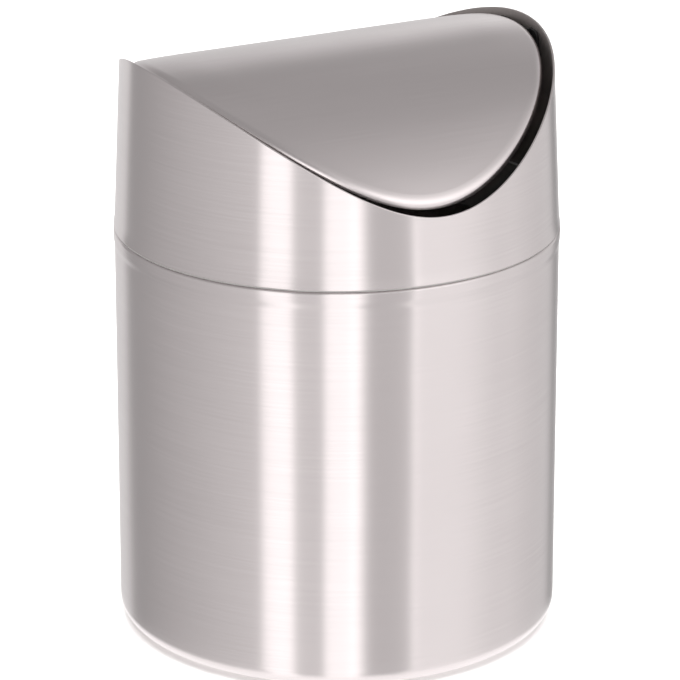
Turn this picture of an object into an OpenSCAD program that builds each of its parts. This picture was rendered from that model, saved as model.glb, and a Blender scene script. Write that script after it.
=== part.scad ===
// Countertop trash can with a swing lid: a steel can, a conical steel hood that lifts out of it,
// and an arched steel flap that swings on two short pins inside the hood.
// The origin is the middle of the base on the counter, +Z is up and the front is -Y.
// The flap turns about a line along X, from one high tip of the hood's rim to the other.

/* [Can] */
// Outer radius of the can's straight wall
can_r = 59.75; // [50:0.25:80]
// Height of the can's rim above the counter
can_h = 111.3; // [90:0.1:180]
// Sheet thickness of the can, the hood and the flap
sheet = 0.6; // [0.5:0.1:0.8]
// Outer radius of the corner between the wall and the base
base_corner_r = 4.5; // [3:0.5:8]
// How far the folded rim stands out from the wall
rim_swell = 0.25; // [0.1:0.05:0.5]
// Height of the folded rim
rim_h = 4.6; // [3:0.1:8]
// Radius of the rounded top edge of the folded rim, outside
rim_round = 0.8; // [0.5:0.1:0.9]

/* [Base] */
// How high the can's floor is pressed up to hold the base pad
floor_rise = 0.8; // [0.5:0.1:1.5]
// Thickness of the base pad
pad_t = 1.4; // [1:0.1:2.5]
// Flat ring of steel left outside the base pad
base_land = 2.8; // [2:0.1:6]
// Gap round the base pad
pad_gap = 0.3; // [0.1:0.1:0.6]

/* [Hood] */
// Height from the hood's lower edge to the high tips of its rim
hood_h = 50.1; // [44:0.1:65]
// How much lower the rim's front and back are than its tips
rim_drop = 32.6; // [28:0.1:36]
// Lean of the hood's wall from the vertical, in degrees
hood_lean = 2.55; // [1:0.05:5]
// Height over which the hood's lower edge flares out to the can's rim
flare_h = 4; // [2:0.5:8]

/* [Seat ring] */
// Thickness of the ring's flange, the grey line between the can and the hood
flange_t = 0.4; // [0.3:0.1:1]
// How far the flange stays back from the face of the rim
flange_back = 0.35; // [0.1:0.05:0.8]
// Depth of the ring's skirt inside the can
skirt_h = 10; // [6:0.5:16]
// Thickness of the ring's skirt and collar
ring_t = 1; // [0.8:0.1:1.6]
// Height of the ring's collar inside the hood
collar_h = 6; // [4:0.5:10]
// Gap between the skirt and the can's folded rim
seat_gap = 0.3; // [0.2:0.05:0.5]

/* [Flap] */
// Gap in plan between the flap's edge and the inside of the hood at the tips
flap_gap = 2.35; // [2:0.05:5]
// How much less the flap reaches to the front and the back than to the tips
flap_narrow = 0.35; // [0:0.05:4]
// How far the flap's crown lies below the hood's tips
crown_below = 0.9; // [0:0.1:4]
// How much lower the flap's front and back are than its crown
flap_drop = 28.8; // [22:0.1:30]
// Depth of the turned-down edge below the arch
lip_h = 2.2; // [1.8:0.1:5]
// Outer radius of the roll into the turned-down edge
lip_bend = 1.6; // [1:0.1:1.7]

/* [Hinges] */
// Radius of the pivot pin
pin_r = 1.25; // [1:0.05:1.5]
// Running clearance all round the pin in its bush
pin_play = 0.05; // [0.01:0.01:0.1]
// Wall of the bush and of the spacer on the pin
nylon_t = 0.55; // [0.5:0.05:0.8]
// Thickness of the hinge plates and the flap's ears
plate_t = 0.8; // [0.6:0.1:0.9]
// Gap that the swinging edge keeps from the spacer and the hinge plate
swing_gap = 0.35; // [0.3:0.05:1]
// End play of the bush between the spacer and the clip
end_play = 0.15; // [0.1:0.05:0.4]
// Half of the hinge plate's width between its bends
plate_half_w = 6; // [5:0.5:9]
// Width of each welded foot of the hinge plate
foot_w = 4.5; // [3:0.5:8]
// Radius of the hinge plate's outer corners
plate_round = 1.5; // [0.5:0.1:2]
// Height of the hinge plate above the pin
plate_up = 2.5; // [2.5:0.1:4]
// Depth of the hinge plate below the pin
plate_down = 8.5; // [8:0.5:14]
// Farthest that the flap swings each way, in degrees
swing_max = 80; // [60:1:80]
// Gap left between the flap's edge and the stop tab at the farthest swing
stop_gap = 0.25; // [0.2:0.05:0.6]
// Distance from the pin down to the stop tab
stop_below = 3.4; // [3:0.1:4.5]
// Half width of the ear's foot under the flap
ear_half_w = 8; // [6:0.5:12]
// How far the ear stays back from the bend of the flap's edge
ear_back = 0.1; // [0:0.1:2]
// Length of the ear's foot, toward the middle of the flap
ear_foot_l = 9; // [5:0.5:16]
// Radius of the ear's lower end round the pin
ear_end_r = 3.4; // [3:0.1:4]

/* [Hidden] */
$fn = 96;
big = 400; // larger than the whole object, for cutting tools
weld = 0.1; // gap left at welded and pressed faces

// Can and base
rim_r = can_r + rim_swell;
base_z = pad_t - floor_rise;
floor_z = pad_t;
panel_r = can_r - base_corner_r - base_land;
hem_inner_r = rim_r - 2 * sheet;

// Hood: the lean is measured from the wall of the can upward
hood_z = can_h + flange_t;
tip_z = hood_z + hood_h;
function cone_r(z) = can_r - (z - hood_z) * tan(hood_lean);
function flare(z) = (rim_r - can_r) * pow(max(0, 1 - (z - hood_z) / flare_h), 2);
function hood_r(z) = cone_r(z) + flare(z);
rim_front_z = tip_z - rim_drop;
rim_front_r = cone_r(rim_front_z);
rim_arch_r = (pow(rim_front_r, 2) + pow(rim_drop, 2)) / (2 * rim_drop);
rim_axis_z = tip_z - rim_arch_r;

// Flap: half its length along X, half its width along Y, and the arch through its front and back
crown_z = tip_z - crown_below;
flap_half_l = cone_r(crown_z) - sheet - flap_gap;
flap_half_w = flap_half_l - flap_narrow;
flap_arch_r = (pow(flap_half_w, 2) + pow(flap_drop, 2)) / (2 * flap_drop);
flap_axis_z = crown_z - flap_arch_r;

// Hinges, from the hood's wall inward along the pin
spacer_r = pin_r + pin_play + nylon_t;
pivot_z = crown_z - lip_h - swing_gap - spacer_r;
plate_x = flap_half_l + swing_gap;
bend_x = (flap_half_l - lip_bend) * sqrt(1 - pow(ear_half_w / (flap_half_w - lip_bend), 2));
ear_x = bend_x - ear_back - plate_t;
bush_flange_t = 0.5;
bush_x = ear_x + plate_t + bush_flange_t;
spacer_x = bush_x + end_play / 2;
snap_t = 0.5;
snap_x = ear_x - snap_t;
clip_t = 0.45;
clip_x = snap_x - end_play / 2 - clip_t;
pin_end_x = clip_x - 0.8;
pin_head_t = 0.7;
pin_head_r = pin_r + 0.9;
clip_groove_r = pin_r - 0.35;
bush_r = spacer_r + 0.1;
under_r = flap_arch_r - sheet - weld;

// The stop tab is lanced out of the hinge plate, just wide enough to meet the flap's edge
stop_half_w = (spacer_r + swing_gap) * sin(swing_max) + stop_below * cos(swing_max) - stop_gap;
stop_l = plate_x - spacer_x - 0.2;
stop_top_z = pivot_z - stop_below;

// Shapes shared by several pieces

// A closed profile in the half plane x >= 0, turned round +Z
module lathe(points) {
    rotate_extrude() polygon(points);
}

// A disc or rod along +X that starts at x = from and ends at x = to
module along_x(from, to, r) {
    translate([from, 0, pivot_z]) rotate([0, 90, 0]) cylinder(h = to - from, r = r);
}

// A solid cylinder along X whose axis lies at the given height
module arch(r, axis_z) {
    translate([-big / 2, 0, axis_z]) rotate([0, 90, 0]) cylinder(h = big, r = r);
}

// An outline drawn in the YZ plane about the pin, as thick as t, with its near face at x = from
module plate_along_x(from, t) {
    translate([from, 0, pivot_z]) rotate([90, 0, 90]) linear_extrude(t) children();
}

// A box from the first corner to the second
module box(low, high) {
    translate(low) cube(high - low);
}

// A rectangle from the first corner to the second, its corners rounded
module rounded_rectangle(low, high, r) {
    translate([low[0] + r, low[1]]) square([high[0] - low[0] - 2 * r, high[1] - low[1]]);
    translate([low[0], low[1] + r]) square([high[0] - low[0], high[1] - low[1] - 2 * r]);
    for (y = [low[0] + r, high[0] - r]) {
        for (z = [low[1] + r, high[1] - r]) {
            translate([y, z]) circle(r);
        }
    }
}

// The right-hand hinge piece, or its mirror image on the left
module on_side(side) {
    mirror([side == "left" ? 1 : 0, 0, 0]) children();
}

// A half profile of a bowl with a rounded bottom corner, for the can inside and outside
module bowl_profile(r, z0, z1, corner) {
    translate([0, z0 + corner]) square([r, z1 - z0 - corner]);
    translate([0, z0]) square([r - corner, corner]);
    translate([r - corner, z0 + corner]) intersection() {
        circle(corner);
        translate([0, -corner]) square(corner);
    }
}

// Can: drawn steel with a folded rim, its floor pressed up to hold the pad

module can_shell() {
    color("silver") rotate_extrude() {
        difference() {
            bowl_profile(can_r, base_z, can_h - rim_h, base_corner_r);
            bowl_profile(can_r - sheet, base_z + sheet, can_h, base_corner_r - sheet);
            square([panel_r, floor_z]);
        }
        translate([0, floor_z]) square([panel_r + sheet, sheet]);
        translate([panel_r, base_z]) square([sheet, floor_rise + sheet]);
        folded_rim_profile();
    }
}

// The wall swells out by rim_swell and folds back down inside itself, rounded on top
module folded_rim_profile() {
    inner_round = 2 * sheet - rim_round;
    foot_z = can_h - rim_h;
    swell_z = foot_z + 1.2;
    polygon([[can_r - sheet, foot_z], [can_r, foot_z], [rim_r, swell_z], [rim_r, can_h - rim_round],
             [rim_r - rim_round, can_h - rim_round], [rim_r - rim_round, can_h],
             [hem_inner_r + inner_round, can_h], [hem_inner_r + inner_round, can_h - inner_round],
             [hem_inner_r, can_h - inner_round], [hem_inner_r, swell_z]]);
    translate([rim_r - rim_round, can_h - rim_round]) quarter_disc(rim_round, 0);
    translate([hem_inner_r + inner_round, can_h - inner_round]) quarter_disc(inner_round, 90);
}

module quarter_disc(r, turn) {
    rotate(turn) intersection() {
        circle(r);
        square(r);
    }
}

module base_pad() {
    color("#1c1c1e") cylinder(h = pad_t, r = panel_r - pad_gap);
}

// Hood: a flared cone whose rim is cut to a saddle by a cylinder along X

module hood_shell() {
    flare_steps = [for (i = [0:8]) hood_z + flare_h * i / 8];
    top_z = tip_z + 5;
    outside = [for (z = flare_steps) [hood_r(z), z]];
    inside = [for (i = [8:-1:0]) [hood_r(flare_steps[i]) - sheet, flare_steps[i]]];
    color("silver") intersection() {
        lathe(concat(outside, [[hood_r(top_z), top_z], [hood_r(top_z) - sheet, top_z]], inside));
        arch(rim_arch_r, rim_axis_z);
    }
}

// Seat ring: its collar fills the hood's lower edge, its flange rests on the can's rim and its
// skirt centres the hood in the can

module seat_ring() {
    collar_top_z = hood_z + collar_h;
    skirt_r = hem_inner_r - seat_gap;
    skirt_z = can_h - skirt_h;
    lead = 0.4 * ring_t;
    flare_steps = [for (i = [0:8]) hood_z + flare_h * i / 8];
    collar_face = [for (z = concat(flare_steps, [collar_top_z])) [hood_r(z) - sheet - weld, z]];
    color("#8c8a88") lathe(concat(
        [[skirt_r - ring_t, skirt_z], [skirt_r - lead, skirt_z], [skirt_r, skirt_z + 2 * lead],
         [skirt_r, can_h], [rim_r - flange_back, can_h], [rim_r - flange_back, hood_z]],
        collar_face,
        [[hood_r(collar_top_z) - sheet - weld - ring_t, collar_top_z], [skirt_r - ring_t, hood_z]]));
}

// Flap: one sheet, arched about a line along X, nearly round in plan, its edge rolled down all round

function arch_z(y) = flap_axis_z + sqrt(pow(flap_arch_r, 2) - pow(y, 2));
function arch_slope(y) = abs(y) / sqrt(pow(flap_arch_r, 2) - pow(y, 2));
function upright_sheet(y) = sheet * sqrt(1 + pow(arch_slope(y), 2));

// The flap's outline in plan at an angle, and the direction there that points straight out of it
function outline(angle) = [flap_half_l * cos(angle), flap_half_w * sin(angle)];
function outward(angle) =
    let (n = [flap_half_w * cos(angle), flap_half_l * sin(angle)])
    n / norm(n);

// How steeply the arch falls toward the outline, in degrees: the roll turns the sheet from there down
// to upright, so it is short in front and behind and a full quarter turn at the tips
function fall(angle) = atan(arch_slope(outline(angle)[1]) * abs(outward(angle)[1]));

// A point of the roll at a share of its turn, on its outside, or further in by the given depth
function roll_point(angle, share, depth) =
    let (edge = outline(angle),
         from = fall(angle),
         turned = from + (90 - from) * share,
         start = lip_bend * tan((90 - from) / 2),
         plan = edge + outward(angle) * ((lip_bend - depth) * sin(turned) - lip_bend))
    [plan[0], plan[1], arch_z(edge[1]) - start + (lip_bend - depth) * cos(turned)];

// A point of the arch between the middle and the start of the roll
function arch_point(angle, share, depth) =
    let (start = roll_point(angle, 0, depth), x = start[0] * share, y = start[1] * share)
    [x, y, arch_z(y) - (depth > 0 ? upright_sheet(y) : 0)];

// A point of the lip's lower edge
function lip_point(angle, depth) =
    let (edge = outline(angle), plan = edge - outward(angle) * depth)
    [plan[0], plan[1], arch_z(edge[1]) - lip_h];

module flap_panel() {
    around = 80;
    flat_rings = 7;
    bend_steps = 4;
    turns = [for (j = [0:around - 1]) 360 * j / around];
    // one ring of points after another: over the outside, round the lower edge and back inside
    rings = concat(
        [for (i = [1:flat_rings]) [for (a = turns) arch_point(a, i / flat_rings, 0)]],
        [for (i = [1:bend_steps]) [for (a = turns) roll_point(a, i / bend_steps, 0)]],
        [[for (a = turns) lip_point(a, 0)], [for (a = turns) lip_point(a, sheet)]],
        [for (i = [bend_steps:-1:1]) [for (a = turns) roll_point(a, i / bend_steps, sheet)]],
        [for (i = [flat_rings:-1:1]) [for (a = turns) arch_point(a, i / flat_rings, sheet)]]);
    last = len(rings) - 1;
    points = concat(
        [for (ring = rings) for (point = ring) point],
        [[0, 0, crown_z], [0, 0, crown_z - sheet]]);
    top_pole = len(points) - 2;
    bottom_pole = len(points) - 1;
    function at(i, j) = i * around + j % around;
    faces = concat(
        [for (j = [0:around - 1]) [top_pole, at(0, j + 1), at(0, j)]],
        [for (i = [0:last - 1]) for (j = [0:around - 1]) [at(i, j), at(i, j + 1), at(i + 1, j)]],
        [for (i = [0:last - 1]) for (j = [0:around - 1]) [at(i, j + 1), at(i + 1, j + 1), at(i + 1, j)]],
        [for (j = [0:around - 1]) [bottom_pole, at(last, j), at(last, j + 1)]]);
    color("gainsboro") polyhedron(points, faces);
}

// Hinge: a bent plate welded to the hood carries the pin, and an ear under the flap carries the bush

// The space inside the hood's wall, less the weld gap, and less a further thickness if given
module inside_hood(less) {
    z0 = hood_z + flare_h;
    z1 = tip_z;
    inset = sheet + weld + less;
    lathe([[0, z0], [hood_r(z0) - inset, z0], [hood_r(z1) - inset, z1], [0, z1]]);
}

module hinge_plate(side) {
    low_z = pivot_z - plate_down;
    high_z = pivot_z + plate_up;
    wide = plate_half_w + foot_w;
    color("#1c1c1e") on_side(side) difference() {
        union() {
            // the face that holds the pin, and the two bends back to the wall
            intersection() {
                inside_hood(0);
                union() {
                    box([plate_x, -plate_half_w, low_z], [plate_x + plate_t, plate_half_w, high_z]);
                    for (end = [-1, 1]) {
                        box([plate_x, end * plate_half_w - plate_t / 2, low_z],
                            [plate_x + big, end * plate_half_w + plate_t / 2, high_z]);
                    }
                }
            }
            // the two feet that lie on the wall
            intersection() {
                difference() {
                    inside_hood(0);
                    inside_hood(plate_t);
                    box([0, -plate_half_w, 0], [big, plate_half_w, big]);
                }
                plate_along_x(0, big) {
                    rounded_rectangle([-wide, -plate_down], [wide, plate_up], plate_round);
                }
            }
            // the stop tab, bent inward below the pin
            box([plate_x - stop_l, -stop_half_w, stop_top_z - plate_t],
                [plate_x + plate_t, stop_half_w, stop_top_z]);
        }
        along_x(plate_x - 1, plate_x + 2, pin_r);
        // the window that the tab was bent out of
        box([plate_x - 1, -stop_half_w, stop_top_z - plate_t - stop_l],
            [plate_x + 2, stop_half_w, stop_top_z - plate_t]);
    }
}

module pivot_pin(side) {
    color("lightgray") on_side(side) difference() {
        union() {
            along_x(pin_end_x, plate_x + plate_t + pin_head_t, pin_r);
            along_x(plate_x + plate_t, plate_x + plate_t + pin_head_t, pin_head_r);
        }
        difference() {
            along_x(clip_x, clip_x + clip_t, 2 * pin_r);
            along_x(clip_x, clip_x + clip_t, clip_groove_r);
        }
    }
}

module pin_spacer(side) {
    color("white") on_side(side) difference() {
        along_x(spacer_x, plate_x, spacer_r);
        along_x(spacer_x - 1, plate_x + 1, pin_r + pin_play);
    }
}

// A spring clip in the pin's groove, open to one side
module pin_clip(side) {
    color("dimgray") on_side(side) plate_along_x(clip_x, clip_t) difference() {
        circle(pin_r + 1.1);
        circle(clip_groove_r);
        translate([0, -clip_groove_r * 0.8]) square([2 * pin_r + 2, clip_groove_r * 1.6]);
    }
}

// The ear: a web that hangs from the flap round the bush, and a foot welded under the arch
module flap_ear(side) {
    shoulder_z = 1;
    color("#1c1c1e") on_side(side) difference() {
        intersection() {
            arch(under_r, flap_axis_z);
            union() {
                plate_along_x(ear_x, plate_t) {
                    circle(ear_end_r);
                    polygon([[-ear_end_r, 0], [ear_end_r, 0], [ear_half_w, shoulder_z + ear_end_r],
                             [ear_half_w, big], [-ear_half_w, big], [-ear_half_w, shoulder_z + ear_end_r]]);
                }
                difference() {
                    box([ear_x - ear_foot_l, -ear_half_w, pivot_z], [ear_x + plate_t, ear_half_w, tip_z]);
                    arch(under_r - plate_t, flap_axis_z);
                }
            }
        }
        along_x(ear_x - 1, ear_x + plate_t + 1, bush_r);
    }
}

// The bush: a flange outside the ear, a barrel in its hole and a snap bead inside
module ear_bush(side) {
    color("ivory") on_side(side) difference() {
        union() {
            along_x(ear_x + plate_t, bush_x, ear_end_r - 0.5);
            along_x(ear_x, ear_x + plate_t, bush_r);
            along_x(snap_x, ear_x, bush_r + 0.3);
        }
        along_x(snap_x - 1, bush_x + 1, pin_r + pin_play);
    }
}

can_shell();
base_pad();
hood_shell();
seat_ring();
flap_panel();
hinge_plate("left");  // hinge_plate_left
hinge_plate("right");  // hinge_plate_right
pivot_pin("left");  // pivot_pin_left
pivot_pin("right");  // pivot_pin_right
pin_spacer("left");  // pin_spacer_left
pin_spacer("right");  // pin_spacer_right
pin_clip("left");  // pin_clip_left
pin_clip("right");  // pin_clip_right
flap_ear("left");  // flap_ear_left
flap_ear("right");  // flap_ear_right
ear_bush("left");  // ear_bush_left
ear_bush("right");  // ear_bush_right
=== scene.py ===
import math

import bmesh
import bpy
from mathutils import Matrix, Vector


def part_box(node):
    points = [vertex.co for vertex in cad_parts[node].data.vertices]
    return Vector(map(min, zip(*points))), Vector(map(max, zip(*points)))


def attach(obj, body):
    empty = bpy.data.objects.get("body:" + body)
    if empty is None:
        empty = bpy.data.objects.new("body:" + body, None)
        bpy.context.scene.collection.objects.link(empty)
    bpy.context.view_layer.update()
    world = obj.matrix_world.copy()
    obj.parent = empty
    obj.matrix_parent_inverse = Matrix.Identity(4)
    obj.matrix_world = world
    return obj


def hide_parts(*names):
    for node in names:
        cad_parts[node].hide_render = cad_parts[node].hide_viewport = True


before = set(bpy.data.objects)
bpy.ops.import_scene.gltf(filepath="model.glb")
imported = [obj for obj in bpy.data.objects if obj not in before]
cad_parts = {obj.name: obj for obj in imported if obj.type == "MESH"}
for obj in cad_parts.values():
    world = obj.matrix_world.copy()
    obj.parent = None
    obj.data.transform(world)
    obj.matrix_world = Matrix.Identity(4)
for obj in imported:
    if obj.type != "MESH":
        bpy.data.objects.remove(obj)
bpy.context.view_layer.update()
print("frame loaded, nodes:", len(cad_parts))

mm = 0.001  # sizes below are in millimetres, Blender's are in metres
ringPoints = 256  # points round every turned piece
smoothAngle = 35  # degrees, faces that meet at less than this are shaded as one
insideTurn = 0.3  # how far a face has to turn inwards, or up, to belong to the inside
noiseLow, noiseHigh = 0.3, 0.7  # a noise pattern mostly stays between these


def deselectAll():
    bpy.ops.object.select_all(action="DESELECT")


def startEditing(name):
    # the primitive just added becomes the named piece, its place goes into its mesh
    piece = bpy.context.object
    piece.name = name
    piece.data.name = name
    bpy.ops.object.transform_apply(location=True, rotation=True, scale=True)
    bpy.ops.object.mode_set(mode="EDIT")
    return piece


def pickEdges(piece, test):
    # in edit mode, selects the edges whose two points pass the test
    bpy.ops.mesh.select_mode(type="EDGE")
    bpy.ops.mesh.select_all(action="DESELECT")
    mesh = bmesh.from_edit_mesh(piece.data)
    for edge in mesh.edges:
        edge.select_set(all(test(vertex.co) for vertex in edge.verts))
    bmesh.update_edit_mesh(piece.data)


def onRing(radius, height):
    # a test for pickEdges: is the point on the circle of that radius at that height, all in mm
    near = 0.02

    def test(point):
        offRadius = math.hypot(point.x, point.y) - radius * mm
        offHeight = point.z - height * mm
        return abs(offRadius) < near * mm and abs(offHeight) < near * mm
    return test


def growRings(start, steps):
    # from the selected ring, extrudes and scales one ring after another: (radius, height) each
    radius, height = start
    for nextRadius, nextHeight in steps:
        rise = (nextHeight - height) * mm
        scale = nextRadius / radius
        bpy.ops.mesh.extrude_region_move(TRANSFORM_OT_translate={"value": (0, 0, rise)})
        bpy.ops.transform.resize(value=(scale, scale, 1), center_override=(0, 0, nextHeight * mm))
        radius, height = nextRadius, nextHeight


def roundRing(piece, radius, height, size, segments):
    pickEdges(piece, onRing(radius, height))
    bpy.ops.mesh.bevel(offset=size * mm, segments=segments, affect="EDGES", profile=0.5)


def applyModifier(piece, kind, **settings):
    modifier = piece.modifiers.new(kind, kind)
    for name, value in settings.items():
        setattr(modifier, name, value)
    bpy.ops.object.modifier_apply(modifier=modifier.name)


def finishPiece(piece, material, body, node):
    # outward normals, smooth shading that keeps the flat faces flat, and the piece's place in the frame
    if piece.mode == "EDIT":
        bpy.ops.mesh.select_all(action="SELECT")
        bpy.ops.mesh.normals_make_consistent(inside=False)
        bpy.ops.object.mode_set(mode="OBJECT")
    bpy.ops.object.shade_smooth_by_angle(angle=math.radians(smoothAngle))
    applyModifier(piece, "WEIGHTED_NORMAL", keep_sharp=True, weight=100)
    piece.data.materials.clear()
    piece.data.materials.append(material)
    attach(piece, body)
    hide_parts(node)
    print("made", piece.name, "with", len(piece.data.polygons), "faces")
    deselectAll()


def finishInside(piece, material, test):
    # a second finish on the faces whose middle and normal pass the test
    piece.data.materials.append(material)
    for face in piece.data.polygons:
        if test(face.center, face.normal):
            face.material_index = 1


def facesAxis(middle, normal):
    return middle.x * normal.x + middle.y * normal.y < -insideTurn * math.hypot(middle.x, middle.y)


def linear(code):
    # an sRGB hex colour such as #d8d2d0, turned linear
    parts = [int(code[i:i + 2], 16) / 255 for i in (1, 3, 5)]
    return [p / 12.92 if p <= 0.04045 else ((p + 0.055) / 1.055) ** 2.4 for p in parts] + [1]


def fillInputs(tree, node, inputs):
    # an input is a value, or a socket to link from
    for name, value in inputs.items():
        if isinstance(value, bpy.types.NodeSocket):
            tree.links.new(value, node.inputs[name])
        else:
            node.inputs[name].default_value = value


def addNode(tree, kind, settings=None, inputs=None):
    node = tree.nodes.new(kind)
    for name, value in (settings or {}).items():
        setattr(node, name, value)
    fillInputs(tree, node, inputs or {})
    return node


def newMaterial(name):
    material = bpy.data.materials.new(name)
    material.use_nodes = True
    tree = material.node_tree
    return material, tree, tree.nodes["Principled BSDF"]


steelLook = {
    "light": "#d7cfcf",  # warm grey of satin stainless sheet
    "dark": "#d3cbcb",  # the same between the scratches
    "roughness": 0.25,
    "roughnessSpread": 0.02,
    "scratchWidth": 0.4,  # mm, a real scratch is about 0.05, too fine to show
    "scratchLength": 30,  # mm
    "scratchDepth": 0.02,  # mm
    "scratchStrength": 0.012,
    "cloudSize": 25,  # mm, faint patches left by the belt
    "cloudShare": 0.35,  # of the tone, the rest comes from the scratches
    "rippleSize": 35,  # mm, the slight unevenness of thin drawn sheet
    "rippleDepth": 0.12,  # mm
}


def brushedSteel(name, across, tangentAxis, turn, anisotropy):
    # stainless sheet, belt-brushed in one direction: long fine scratches that draw every reflection
    # out across them; across is the object axis that runs across the scratches
    material, tree, shader = newMaterial(name)
    place = addNode(tree, "ShaderNodeTexCoord").outputs["Object"]
    acrossScale = 1 / (steelLook["scratchWidth"] * mm)
    alongScale = 1 / (steelLook["scratchLength"] * mm)
    scales = [acrossScale if axis == across else alongScale for axis in "XYZ"]
    if across == "Y":
        scales[2] = acrossScale  # the arched flap runs across its scratches in height too
    grain = addNode(tree, "ShaderNodeMapping", inputs={"Vector": place, "Scale": scales})
    scratches = addNode(tree, "ShaderNodeTexNoise", inputs={
        "Vector": grain.outputs["Vector"], "Scale": 1, "Detail": 3, "Roughness": 0.6})
    clouds = addNode(tree, "ShaderNodeTexNoise", inputs={
        "Vector": place, "Scale": 1 / (steelLook["cloudSize"] * mm), "Detail": 2, "Roughness": 0.5})
    scratchPart = addNode(tree, "ShaderNodeMath", {"operation": "MULTIPLY"}, {
        0: scratches.outputs["Fac"], 1: 1 - steelLook["cloudShare"]})
    tone = addNode(tree, "ShaderNodeMath", {"operation": "MULTIPLY_ADD"}, {
        0: clouds.outputs["Fac"], 1: steelLook["cloudShare"], 2: scratchPart.outputs[0]})
    colour = addNode(tree, "ShaderNodeValToRGB", inputs={"Fac": tone.outputs[0]})
    colour.color_ramp.elements[0].position = noiseLow
    colour.color_ramp.elements[0].color = linear(steelLook["dark"])
    colour.color_ramp.elements[1].position = noiseHigh
    colour.color_ramp.elements[1].color = linear(steelLook["light"])
    rough = addNode(tree, "ShaderNodeMapRange", inputs={
        "Value": tone.outputs[0], "From Min": noiseLow, "From Max": noiseHigh,
        "To Min": steelLook["roughness"] + steelLook["roughnessSpread"],
        "To Max": steelLook["roughness"] - steelLook["roughnessSpread"]})
    ripples = addNode(tree, "ShaderNodeTexNoise", inputs={
        "Vector": place, "Scale": 1 / (steelLook["rippleSize"] * mm), "Detail": 0})
    uneven = addNode(tree, "ShaderNodeBump", inputs={
        "Height": ripples.outputs["Fac"], "Strength": 1, "Distance": steelLook["rippleDepth"] * mm})
    bump = addNode(tree, "ShaderNodeBump", inputs={
        "Height": scratches.outputs["Fac"], "Strength": steelLook["scratchStrength"],
        "Distance": steelLook["scratchDepth"] * mm, "Normal": uneven.outputs["Normal"]})
    tangent = addNode(tree, "ShaderNodeTangent", {"direction_type": "RADIAL", "axis": tangentAxis})
    fillInputs(tree, shader, {
        "Base Color": colour.outputs["Color"],
        "Metallic": 1,
        "Roughness": rough.outputs["Result"],
        "Anisotropic": anisotropy,
        "Anisotropic Rotation": turn,
        "Tangent": tangent.outputs["Tangent"],
        "Normal": bump.outputs["Normal"],
    })
    return material


# the can and the hood, brushed round: the room stands in it as upright bands, clear from side to side
roundSteel = brushedSteel("stainless brushed round", "Z", "Z", 0.25, 1)
# the flap, brushed along its hinge line: its tones run softly into each other over the arch
flapSteel = brushedSteel("stainless brushed along the flap", "Y", "X", 0, 0.5)


def plainMaterial(name, light, dark, metallic, roughness, spread, grainSize, bumpDepth, ior=None):
    # a plain finish: two close tones, roughness and a fine relief from one noise of a real grain size
    material, tree, shader = newMaterial(name)
    place = addNode(tree, "ShaderNodeTexCoord").outputs["Object"]
    grain = addNode(tree, "ShaderNodeTexNoise", inputs={
        "Vector": place, "Scale": 1 / (grainSize * mm), "Detail": 4, "Roughness": 0.6})
    colour = addNode(tree, "ShaderNodeValToRGB", inputs={"Fac": grain.outputs["Fac"]})
    colour.color_ramp.elements[0].position = noiseLow
    colour.color_ramp.elements[0].color = linear(dark)
    colour.color_ramp.elements[1].position = noiseHigh
    colour.color_ramp.elements[1].color = linear(light)
    rough = addNode(tree, "ShaderNodeMapRange", inputs={
        "Value": grain.outputs["Fac"], "From Min": noiseLow, "From Max": noiseHigh,
        "To Min": roughness - spread, "To Max": roughness + spread})
    bump = addNode(tree, "ShaderNodeBump", inputs={
        "Height": grain.outputs["Fac"], "Strength": 0.5, "Distance": bumpDepth * mm})
    fillInputs(tree, shader, {
        "Base Color": colour.outputs["Color"],
        "Metallic": metallic,
        "Roughness": rough.outputs["Result"],
        "Normal": bump.outputs["Normal"],
    })
    if ior:
        shader.inputs["IOR"].default_value = ior
    return material


# pressed sheet coloured near black as painted shade, so the plates and ears read as the shade in the dark
# gap under the flap: a dark shape with a dull, soft shine
gapShadeBlackSheet = plainMaterial("satin black sheet as gap shade", "#101010", "#0b0b0c", 0, 0.62, 0.06, 0.4, 0.01, 1.5)
# sheet as it left the mill, never brushed: a grey that mirrors nothing clearly
millSteel = plainMaterial("mill-finish stainless", "#cfc8c6", "#c6bfbd", 1, 0.55, 0.04, 0.6, 0.004)
# pins turned on a lathe: small bright lights along them
turnedSteel = plainMaterial("turned steel pin", "#c9c7c5", "#b7b5b4", 1, 0.25, 0.05, 0.4, 0.005)
# hardened strip in a film of oil: dark grey with a soft gleam
springSteel = plainMaterial("oiled spring steel", "#55555a", "#3e3e42", 1, 0.35, 0.08, 0.6, 0.005)
# small moulded rings of undyed nylon: a warm, slightly waxy white
nylon = plainMaterial("natural nylon", "#e6e2d4", "#dcd7c8", 0, 0.45, 0.08, 0.8, 0.01, 1.53)
# moulded in a finely grained tool: an even grey with a soft sheen
greyPlastic = plainMaterial("grey moulded polypropylene", "#a09d9b", "#989593",
                            0, 0.5, 0.06, 0.5, 0.01, 1.49)
# cut from foamed sheet: a black that takes almost no light
blackRubber = plainMaterial("black rubber foam", "#232324", "#171718", 0, 0.85, 0.06, 0.6, 0.08, 1.52)

print("materials made")


canLow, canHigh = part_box("can_shell")
can = {
    "rimRadius": canHigh.x / mm,
    "bottom": canLow.z / mm,
    "top": canHigh.z / mm,
    "rimSwell": 0.25,
    "sheet": 0.6,
    "cornerRadius": 4.5,
    "floorRise": 0.8,
    "land": 2.8,
    "rimHeight": 4.6,
    "swellHeight": 1.2,
    "swellRound": 0.6,
    "rimRound": 0.8,
    "hemRound": 0.15,
    "floorRound": 0.3,
}


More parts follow.
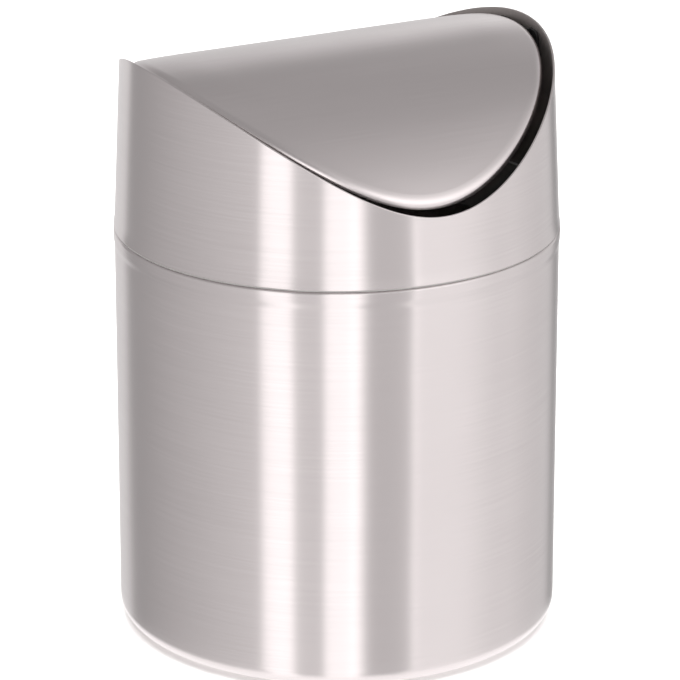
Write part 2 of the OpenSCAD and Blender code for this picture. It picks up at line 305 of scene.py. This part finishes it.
def makeCan():
    wall = can["rimRadius"] - can["rimSwell"]
    inside = wall - can["sheet"]
    hemInside = can["rimRadius"] - 2 * can["sheet"]
    rimFoot = can["top"] - can["rimHeight"]
    swellTop = rimFoot + can["swellHeight"]
    panel = wall - can["cornerRadius"] - can["land"]
    floorTop = can["bottom"] + can["floorRise"] + can["sheet"]
    landTop = can["bottom"] + can["sheet"]

    bpy.ops.mesh.primitive_circle_add(vertices=ringPoints, radius=wall * mm, fill_type="NGON",
                                      location=(0, 0, can["bottom"] * mm))
    piece = startEditing("canBody")
    # the floor: a land all round, and the middle pressed up
    bpy.ops.mesh.select_all(action="SELECT")
    bpy.ops.mesh.inset(thickness=(wall - panel) * mm)
    bpy.ops.mesh.extrude_region_move(TRANSFORM_OT_translate={"value": (0, 0, can["floorRise"] * mm)})
    # the wall up to the folded rim, over it, and down the inside to the floor
    pickEdges(piece, onRing(wall, can["bottom"]))
    growRings((wall, can["bottom"]), [
        (wall, rimFoot), (can["rimRadius"], swellTop), (can["rimRadius"], can["top"]),
        (hemInside, can["top"]), (hemInside, rimFoot), (inside, rimFoot),
        (inside, landTop), (panel + can["sheet"], landTop), (panel + can["sheet"], floorTop)])
    bpy.ops.mesh.edge_face_add()
    # round what the press and the roller leave round
    roundRing(piece, wall, can["bottom"], can["cornerRadius"], 12)
    roundRing(piece, inside, landTop, can["cornerRadius"] - can["sheet"], 10)
    roundRing(piece, can["rimRadius"], can["top"], can["rimRound"], 6)
    roundRing(piece, hemInside, can["top"], 2 * can["sheet"] - can["rimRound"], 4)
    roundRing(piece, can["rimRadius"], swellTop, can["swellRound"], 3)
    roundRing(piece, wall, rimFoot, can["swellRound"], 3)
    roundRing(piece, hemInside, rimFoot, can["hemRound"], 2)
    roundRing(piece, panel, can["bottom"], can["floorRound"], 3)
    roundRing(piece, panel + can["sheet"], floorTop, can["floorRound"], 3)
    finishPiece(piece, roundSteel, "can", "can_shell")
    # the inside keeps the dull finish of the rolled sheet
    finishInside(piece, millSteel, lambda middle, normal: middle.z < rimFoot * mm and (
        facesAxis(middle, normal) or normal.z > insideTurn and middle.z > landTop * mm - 1e-5))


makeCan()


padLow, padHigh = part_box("base_pad")
pad = {
    "radius": padHigh.x / mm,
    "bottom": padLow.z / mm,
    "top": padHigh.z / mm,
    "edgeRound": 0.5,
}


def makePad():
    depth = pad["top"] - pad["bottom"]
    bpy.ops.mesh.primitive_cylinder_add(vertices=ringPoints, radius=pad["radius"] * mm, depth=depth * mm,
                                        location=(0, 0, (pad["bottom"] + depth / 2) * mm))
    piece = startEditing("basePad")
    roundRing(piece, pad["radius"], pad["bottom"], pad["edgeRound"], 4)
    finishPiece(piece, blackRubber, "can", "base_pad")


makePad()


hoodLow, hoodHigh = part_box("hood_shell")
hood = {
    "lowerRadius": hoodHigh.x / mm,
    "bottom": hoodLow.z / mm,
    "tip": hoodHigh.z / mm,
    "lean": 2.55,  # degrees
    "flareOut": 0.25,
    "flareHeight": 4,
    "flareSteps": 6,
    "sheet": 0.6,
    "rimDrop": 32.6,  # from the two tips to the front and the back
    "edgeRound": 0.25,
    "footRound": 0.2,
}


def coneRadius(height):
    footRadius = hood["lowerRadius"] - hood["flareOut"]
    return footRadius - (height - hood["bottom"]) * math.tan(math.radians(hood["lean"]))


def hoodRadius(height):
    left = max(0, 1 - (height - hood["bottom"]) / hood["flareHeight"])
    return coneRadius(height) + hood["flareOut"] * left ** 2


# the rim follows a round arch that lies along X: high at the two sides, low in front and behind
rimFrontRadius = coneRadius(hood["tip"] - hood["rimDrop"])
rimArch = (rimFrontRadius ** 2 + hood["rimDrop"] ** 2) / (2 * hood["rimDrop"])


def rimHeight(y):
    return hood["tip"] - rimArch + math.sqrt(rimArch ** 2 - y ** 2)


def makeHood():
    flareStep = hood["flareHeight"] / hood["flareSteps"]
    flares = [hood["bottom"] + flareStep * step for step in range(hood["flareSteps"] + 1)]
    bottomRing = (hoodRadius(flares[0]), flares[0])
    sheet = hood["sheet"]
    topRing = (coneRadius(hood["tip"]), hood["tip"])
    bpy.ops.mesh.primitive_circle_add(vertices=ringPoints, radius=bottomRing[0] * mm,
                                      location=(0, 0, bottomRing[1] * mm))
    piece = startEditing("hoodShell")
    bpy.ops.mesh.select_all(action="SELECT")
    outside = [(hoodRadius(z), z) for z in flares[1:]] + [topRing]
    inside = [(topRing[0] - sheet, topRing[1])] + [(hoodRadius(z) - sheet, z) for z in reversed(flares)]
    growRings(bottomRing, outside + inside)
    pickEdges(piece, lambda p: abs(p.z - hood["bottom"] * mm) < 1e-5)
    bpy.ops.mesh.bridge_edge_loops()
    roundRing(piece, bottomRing[0], bottomRing[1], hood["footRound"], 3)
    roundRing(piece, topRing[0], topRing[1], hood["edgeRound"], 4)
    roundRing(piece, topRing[0] - sheet, topRing[1], hood["edgeRound"], 4)
    # lower the rim to the arch, sliding each of its points down its own straight line on the cone
    mesh = bmesh.from_edit_mesh(piece.data)
    slope = math.tan(math.radians(hood["lean"]))
    for vertex in mesh.verts:
        if vertex.co.z < (hood["tip"] - 1) * mm:
            continue
        radius = math.hypot(vertex.co.x, vertex.co.y)
        x, y = vertex.co.x / radius, vertex.co.y / radius
        drop = 0
        for _ in range(4):  # the cone widens on the way down, so the drop is found in a few rounds
            drop = hood["tip"] - rimHeight((topRing[0] + drop * slope) * y)
        newRadius = radius + drop * slope * mm
        vertex.co = (x * newRadius, y * newRadius, vertex.co.z - drop * mm)
    bmesh.update_edit_mesh(piece.data)
    finishPiece(piece, roundSteel, "hood", "hood_shell")
    finishInside(piece, millSteel, facesAxis)


makeHood()


ringLow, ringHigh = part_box("seat_ring")
ring = {
    "flangeRadius": ringHigh.x / mm,
    "bottom": ringLow.z / mm,
    "top": ringHigh.z / mm,
    "seat": can["top"],
    "wall": 1,
    "gap": 0.3,
    "weld": 0.1,
    "footRound": 0.4,
    "topRound": 0.3,
}


def makeSeatRing():
    skirt = can["rimRadius"] - 2 * can["sheet"] - ring["gap"]
    collar = hoodRadius(ring["top"]) - hood["sheet"] - ring["weld"]
    collarFoot = hoodRadius(hood["bottom"]) - hood["sheet"] - ring["weld"]
    bpy.ops.mesh.primitive_circle_add(vertices=ringPoints, radius=(skirt - ring["wall"]) * mm,
                                      location=(0, 0, ring["bottom"] * mm))
    piece = startEditing("seatRing")
    bpy.ops.mesh.select_all(action="SELECT")
    growRings((skirt - ring["wall"], ring["bottom"]), [
        (skirt, ring["bottom"]), (skirt, ring["seat"]), (ring["flangeRadius"], ring["seat"]),
        (ring["flangeRadius"], hood["bottom"]), (collarFoot, hood["bottom"]), (collar, ring["top"]),
        (collar - ring["wall"], ring["top"])])
    pickEdges(piece, lambda p: math.hypot(p.x, p.y) < (collar - ring["wall"] + 0.02) * mm)
    bpy.ops.mesh.bridge_edge_loops()
    roundRing(piece, skirt, ring["bottom"], ring["footRound"], 4)
    roundRing(piece, collar - ring["wall"], ring["top"], ring["topRound"], 3)
    finishPiece(piece, greyPlastic, "hood", "seat_ring")


makeSeatRing()


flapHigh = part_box("flap_panel")[1]
flap = {
    "halfLength": flapHigh.x / mm,  # to the tips
    "halfWidth": flapHigh.y / mm,  # to the front and the back
    "crown": flapHigh.z / mm,
    "drop": 28.8,  # from the crown to the front and the back
    "lip": 2.2,  # depth of the turned-down edge
    "rollLength": 3.6,  # length of sheet that rolls over into it
    "rollSegments": 14,
    "easeWidth": 12,  # over this width before the roll the sheet starts to fall away
    "easeDepth": 0.25,
    "sheet": 0.6,
    "edgeRound": 0.12,
    "sharpAngle": 60,  # degrees, only the cut edge is sharper
    "rings": 30,
}
flapArch = (flap["halfWidth"] ** 2 + flap["drop"] ** 2) / (2 * flap["drop"])


def archHeight(y):
    return flap["crown"] - flapArch + math.sqrt(flapArch ** 2 - y ** 2)


def rollOffset(slope, share):
    # how far in and how far up a point of the roll lies from where its sheet stands upright: the sheet
    # starts at the given slope and turns over slowly at first, then faster
    steps = 16
    inset = rise = 0
    for step in range(steps):
        middle = share + (1 - share) * (step + 0.5) / steps
        angle = slope + (math.pi / 2 - slope) * middle ** 2
        length = flap["rollLength"] * (1 - share) / steps
        inset += math.cos(angle) * length
        rise += math.sin(angle) * length
    return inset, rise


def archPoint(point):
    # where a point of the flat round pan goes when the sheet is arched along X and its edge rolled
    # down: the roll takes over at the arch's own slope and ends upright
    length, width = flap["halfLength"], flap["halfWidth"]
    side = math.atan2(point.y, point.x)
    edgeX, edgeY = length * math.cos(side), width * math.sin(side)
    outX, outY = width * math.cos(side), length * math.sin(side)
    outX, outY = outX / math.hypot(outX, outY), outY / math.hypot(outX, outY)
    slope = math.atan(abs(edgeY * outY) / math.sqrt(flapArch ** 2 - edgeY ** 2)
                      + 2 * flap["easeDepth"] / flap["easeWidth"])
    reach, rise = rollOffset(slope, 0)
    startX, startY = edgeX - outX * reach, edgeY - outY * reach
    upright = archHeight(startY) - flap["easeDepth"] - rise
    below = flap["crown"] - point.z / mm
    near = 0.001
    if below > flap["lip"] - near:
        return edgeX, edgeY, archHeight(edgeY) - flap["lip"]
    if below > near:
        inset, rise = rollOffset(slope, below)
        return edgeX - outX * inset, edgeY - outY * inset, upright + rise
    share = math.hypot(point.x, point.y) / (length - flap["rollLength"]) / mm
    ease = max(0, 1 - (1 - share) * length / flap["easeWidth"]) ** 2 * flap["easeDepth"]
    return startX * share, startY * share, archHeight(startY * share) - ease


def makeFlap():
    length, crown, roll = flap["halfLength"], flap["crown"], flap["rollLength"]
    bottomRing = (length, crown - flap["lip"])
    # a flat round pan: up the turned-down edge, over its roll and in over the top to the middle
    shares = [1 - step / flap["rollSegments"] for step in range(flap["rollSegments"] + 1)]
    rollRings = [(length - roll * (1 - share), crown - share) for share in shares]
    topRings = [((length - roll) * (1 - step / flap["rings"]), crown) for step in range(1, flap["rings"])]
    bpy.ops.mesh.primitive_circle_add(vertices=ringPoints, radius=length * mm,
                                      location=(0, 0, bottomRing[1] * mm))
    piece = startEditing("swingFlap")
    bpy.ops.mesh.select_all(action="SELECT")
    growRings(bottomRing, rollRings + topRings)
    bpy.ops.mesh.extrude_region_move()
    bpy.ops.mesh.merge(type="CENTER")
    mesh = bmesh.from_edit_mesh(piece.data)
    for vertex in mesh.verts:
        vertex.co = [value * mm for value in archPoint(vertex.co)]
    bmesh.update_edit_mesh(piece.data)
    bpy.ops.mesh.select_all(action="SELECT")
    bpy.ops.mesh.normals_make_consistent(inside=False)
    bpy.ops.object.mode_set(mode="OBJECT")
    applyModifier(piece, "SOLIDIFY", thickness=flap["sheet"] * mm, offset=-1, use_even_offset=True)
    applyModifier(piece, "BEVEL", width=flap["edgeRound"] * mm, segments=3, limit_method="ANGLE",
                  angle_limit=math.radians(flap["sharpAngle"]))
    finishPiece(piece, flapSteel, "flap", "flap_panel")


makeFlap()


hingeFinish = {
    # painted shade: the plates and ears are coloured near black to stand for the shade in the gap under the
    # flap
    "hinge_plate": gapShadeBlackSheet,
    "flap_ear": gapShadeBlackSheet,
    "pivot_pin": turnedSteel,
    "pin_clip": springSteel,
    "pin_spacer": nylon,
    "ear_bush": nylon,
}

for kind, material in hingeFinish.items():
    for side in ("left", "right"):
        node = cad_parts[kind + "_" + side]
        node.data.materials.clear()
        node.data.materials.append(material)
print("hinges finished")


studio = {
    "floorSize": 6,  # metres
    "floor": "#f6f5f4",
    "spotRadius": 63,  # mm
    "spotLight": 1.5,
    "roomLevel": 0.38,  # light from everywhere between the panels
    "wideFade": 20,  # degrees, a panel's edge that fades over more than this fades evenly
    "overheadSize": 2.4,  # metres
    "overheadHeight": 1.8,  # metres
    "overheadPower": 70,  # watts
}

# soft panels stand round the object, each given by where it starts and ends round it (0 in front,
# 90 at the right, seen from above), by how far those two edges fade, by the height in degrees up to
# which it is full and how far it fades above that, by its foot if it has one, and by how bright it is
panels = {
    "backdrop": {"start": 137, "end": 192, "startFade": 6, "endFade": 3,
                 "top": -5, "topFade": 41, "bright": 0.5},
    "backdrop glow": {"start": 130, "end": 148, "startFade": 15, "endFade": 9,
                      "foot": 12, "footFade": 12, "top": 15, "topFade": 18, "bright": 0.4},
    "backdrop side": {"start": 110, "end": 138, "startFade": 15, "endFade": 8,
                      "foot": 28, "footFade": 12, "top": 40, "topFade": 12, "bright": 0.12},
    "upper side": {"start": 80, "end": 140, "startFade": 20, "endFade": 20,
                   "foot": 60, "footFade": 14, "top": 70, "topFade": 12, "bright": 0.05},
    "ceiling": {"start": -180, "end": 180, "startFade": 1, "endFade": 1,
                "foot": 55, "footFade": 25, "top": 90, "topFade": 1, "bright": 0.05},
    "left room": {"start": -66, "end": -18, "startFade": 103, "endFade": 6,
                  "top": 5, "topFade": 30, "bright": 0.55},
    "left strip": {"start": -66, "end": -53, "startFade": 3, "endFade": 4,
                   "top": 20, "topFade": 20, "bright": 0.8},
    "middle strip": {"start": -33, "end": -22, "startFade": 4, "endFade": 14,
                     "top": 20, "topFade": 20, "bright": 0.68},
    "dark screen": {"start": -18, "end": 12, "startFade": 6, "endFade": 3,
                    "top": 5, "topFade": 30, "bright": 0.33},
    "key light": {"start": -30, "end": 30, "startFade": 6, "endFade": 30,
                  "foot": 15, "footFade": 10, "top": 28, "topFade": 14, "bright": 0.7},
    "right window": {"start": 12, "end": 72, "startFade": 3, "endFade": 25,
                     "top": 25, "topFade": 45, "bright": 0.62},
    "window glow": {"start": 12, "end": 42, "startFade": 3, "endFade": 20,
                    "top": 25, "topFade": 20, "bright": 0.16},
    "right room": {"start": 97, "end": 115, "startFade": 25, "endFade": 8,
                   "top": 5, "topFade": 45, "bright": 0.45},
}


def makeFloor():
    bpy.ops.mesh.primitive_plane_add(size=studio["floorSize"])
    floor = bpy.context.object
    floor.name = "floor"
    # a table top sprayed matt white: even, and without a reflection
    material, tree, shader = newMaterial("matt white table")
    fillInputs(tree, shader, {"Base Color": linear(studio["floor"]), "Roughness": 0.9})
    floor.data.materials.append(material)
    floor.visible_glossy = False  # the steel sees the panels down to the ground, as over a light table
    floor.visible_shadow = False


makeFloor()


def makeLitSpot():
    # the lit table right under the can: only the steel sees it, in the round corner at its foot
    bpy.ops.mesh.primitive_circle_add(vertices=64, radius=studio["spotRadius"] * mm, fill_type="NGON")
    spot = bpy.context.object
    spot.name = "litSpot"
    # opal glass lit from below: even white light
    material, tree, shader = newMaterial("white light")
    fillInputs(tree, shader, {"Base Color": (0, 0, 0, 1), "Emission Color": (1, 1, 1, 1),
                             "Emission Strength": studio["spotLight"]})
    spot.data.materials.append(material)
    spot.visible_camera = False
    spot.visible_diffuse = False
    spot.visible_shadow = False


makeLitSpot()


camera = {
    "bearing": -28.46,  # degrees round from the front, to the left
    "reach": 1065.4,  # mm, level distance from the object's middle
    "height": 455,
    "pitch": 19.52,  # degrees down
    "sensor": 36,
    "lens": 220.4,
    "shift": 0.0046,
}


def makeCamera():
    turn = math.radians(camera["bearing"])
    data = bpy.data.cameras.new("camera")
    data.lens = camera["lens"]
    data.sensor_width = camera["sensor"]
    data.shift_x = camera["shift"]
    seat = bpy.data.objects.new("camera", data)
    seat.location = (math.sin(turn) * camera["reach"] * mm, -math.cos(turn) * camera["reach"] * mm,
                     camera["height"] * mm)
    seat.rotation_euler = (math.radians(90 - camera["pitch"]), 0, turn)
    bpy.context.scene.collection.objects.link(seat)
    bpy.context.scene.camera = seat


makeCamera()


def makeRoom():
    world = bpy.data.worlds.new("studio")
    bpy.context.scene.world = world
    world.use_nodes = True
    tree = world.node_tree
    direction = addNode(tree, "ShaderNodeTexCoord").outputs["Generated"]
    rise = addNode(tree, "ShaderNodeSeparateXYZ", inputs={"Vector": direction}).outputs["Z"]
    height = addNode(tree, "ShaderNodeMath", {"operation": "ARCSINE"}, {0: rise}).outputs["Value"]
    light = studio["roomLevel"]
    for panel in panels.values():
        half = (panel["end"] - panel["start"]) / 2
        turn = math.radians(panel["start"] + half)
        ahead = addNode(tree, "ShaderNodeVectorMath", {"operation": "DOT_PRODUCT"}, {
            0: direction, 1: (math.sin(turn), -math.cos(turn), 0)}).outputs["Value"]
        aside = addNode(tree, "ShaderNodeVectorMath", {"operation": "DOT_PRODUCT"}, {
            0: direction, 1: (math.cos(turn), math.sin(turn), 0)}).outputs["Value"]
        bearing = addNode(tree, "ShaderNodeMath", {"operation": "ARCTAN2"}, {
            0: aside, 1: ahead}).outputs["Value"]
        # each edge: what it is measured on, where the panel's light is gone and where it is full
        edges = [(bearing, -half - panel["startFade"], -half), (bearing, half + panel["endFade"], half),
                 (height, panel["top"] + panel["topFade"], panel["top"])]
        if "foot" in panel:
            edges.append((height, panel["foot"] - panel["footFade"], panel["foot"]))
        glow = panel["bright"]
        for value, gone, full in edges:
            fading = "SMOOTHSTEP" if abs(full - gone) < studio["wideFade"] else "LINEAR"
            soft = addNode(tree, "ShaderNodeMapRange", {"interpolation_type": fading}, {
                "Value": value, "From Min": math.radians(gone), "From Max": math.radians(full)})
            glow = addNode(tree, "ShaderNodeMath", {"operation": "MULTIPLY"}, {
                0: soft.outputs["Result"], 1: glow}).outputs["Value"]
        light = addNode(tree, "ShaderNodeMath", {"operation": "ADD"}, {0: glow, 1: light}).outputs["Value"]
    background = tree.nodes["Background"]
    background.inputs["Color"].default_value = (1, 1, 1, 1)
    tree.links.new(light, background.inputs["Strength"])


makeRoom()


def makeOverhead():
    # a large soft light for the table alone: it leaves no mirror image in the steel
    bpy.ops.object.light_add(type="AREA", location=(0, 0, studio["overheadHeight"]))
    overhead = bpy.context.object
    overhead.name = "overhead"
    overhead.data.shape = "DISK"
    overhead.data.size = studio["overheadSize"]
    overhead.data.energy = studio["overheadPower"]
    overhead.visible_glossy = False
    overhead.visible_camera = False


makeOverhead()

bpy.context.scene.view_settings.view_transform = "Standard"
print("studio made")
